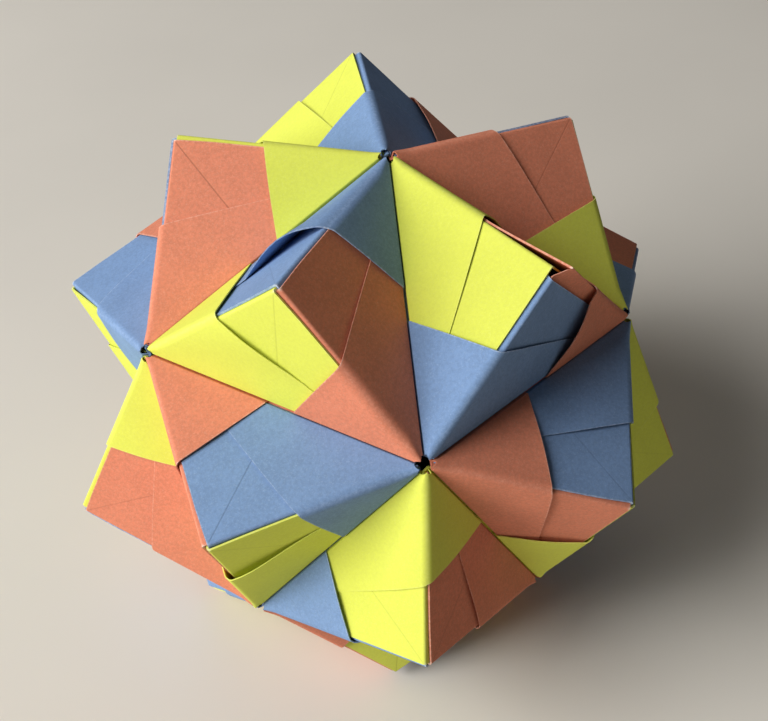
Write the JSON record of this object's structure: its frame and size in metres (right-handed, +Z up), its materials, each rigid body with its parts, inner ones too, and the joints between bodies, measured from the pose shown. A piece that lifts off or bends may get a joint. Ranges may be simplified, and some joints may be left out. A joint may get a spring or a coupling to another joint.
{
  "type": "kusudama paper ball",
  "caption": "Star-shaped ball of folded paper modules in yellow, terracotta and blue-grey, tucked into each other without glue.",
  "frame": {"origin": "middle of the ball's bounding box, on the surface it stands on", "axes": "+Z up; -Y towards the front, where the upper ring's first corner points"},
  "size_m": [0.0996, 0.104, 0.0878],
  "materials": {
    "yellow_paper": "matt dyed paper",
    "orange_paper": "matt dyed paper",
    "blue_paper": "matt dyed paper"
  },
  "bodies": {
    "root": {"blue_module_01": "blue_paper", "blue_module_02": "blue_paper", "blue_module_03": "blue_paper", "blue_module_04": "blue_paper", "blue_module_05": "blue_paper", "blue_module_06": "blue_paper", "blue_module_07": "blue_paper", "blue_module_08": "blue_paper", "blue_module_09": "blue_paper", "blue_module_10": "blue_paper", "orange_module_01": "orange_paper", "orange_module_02": "orange_paper", "orange_module_03": "orange_paper", "orange_module_04": "orange_paper", "orange_module_05": "orange_paper", "orange_module_06": "orange_paper", "orange_module_07": "orange_paper", "orange_module_08": "orange_paper", "orange_module_09": "orange_paper", "orange_module_10": "orange_paper", "yellow_module_01": "yellow_paper", "yellow_module_02": "yellow_paper", "yellow_module_03": "yellow_paper", "yellow_module_04": "yellow_paper", "yellow_module_05": "yellow_paper", "yellow_module_06": "yellow_paper", "yellow_module_07": "yellow_paper", "yellow_module_08": "yellow_paper", "yellow_module_09": "yellow_paper", "yellow_module_10": "yellow_paper"}
  },
  "joints": []
}
